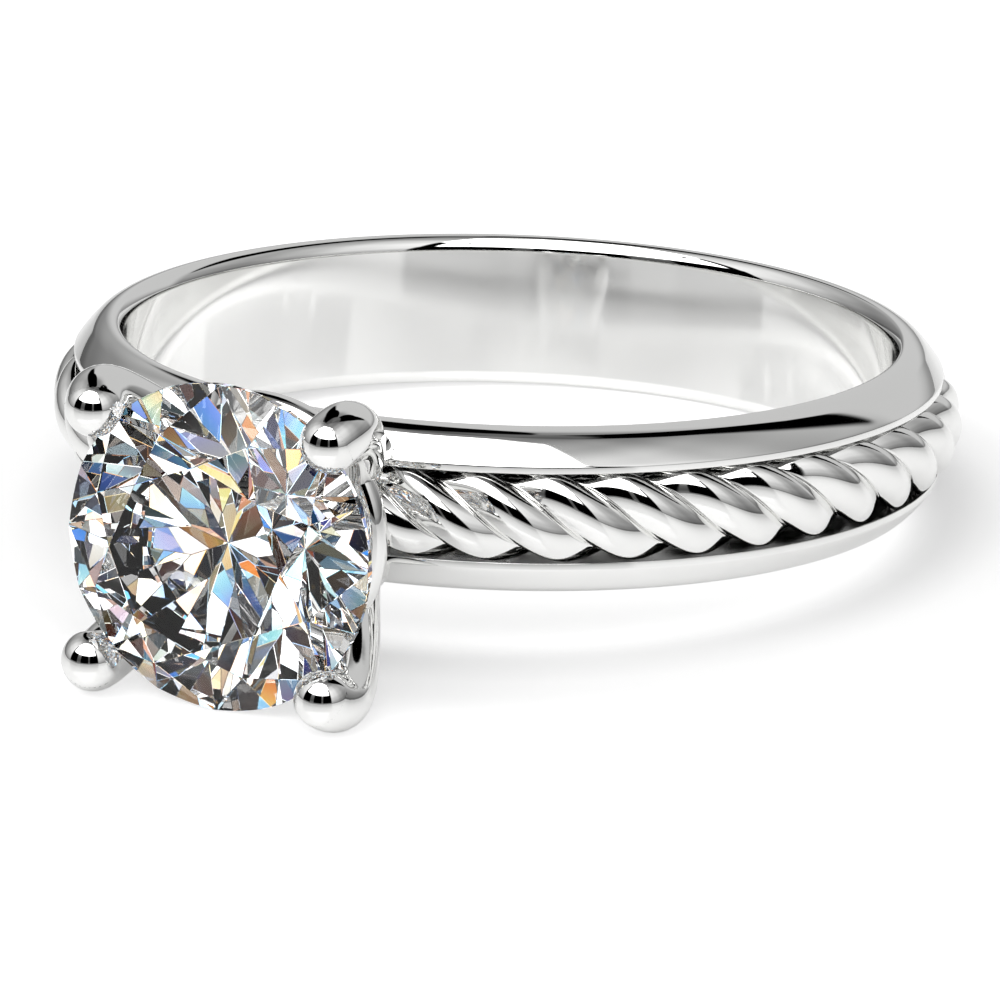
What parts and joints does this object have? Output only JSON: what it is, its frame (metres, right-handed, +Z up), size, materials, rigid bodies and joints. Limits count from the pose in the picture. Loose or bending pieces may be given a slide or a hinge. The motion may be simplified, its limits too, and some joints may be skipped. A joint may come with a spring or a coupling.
{
  "type": "twisted shank ring",
  "caption": "Solitaire finger ring with a twisted rope set in a channel all round its band and a round brilliant stone held by domed prongs; lies on its side.",
  "frame": {"origin": "on the floor, under the middle of the ring's bounding box as it lies on its side", "axes": "+Z up, within a few degrees of the finger hole's axis; -Y the way the stone looks; +X across the setting, to its right as seen from the stone's front"},
  "size_m": [0.0196, 0.0243, 0.0067],
  "materials": {
    "white_gold": "polished",
    "diamond": "cut and polished"
  },
  "bodies": {
    "root": {"shank_and_setting": "white_gold", "twist_strand_a": "white_gold", "twist_strand_b": "white_gold", "twist_strand_c": "white_gold", "diamond": "diamond"}
  },
  "joints": []
}
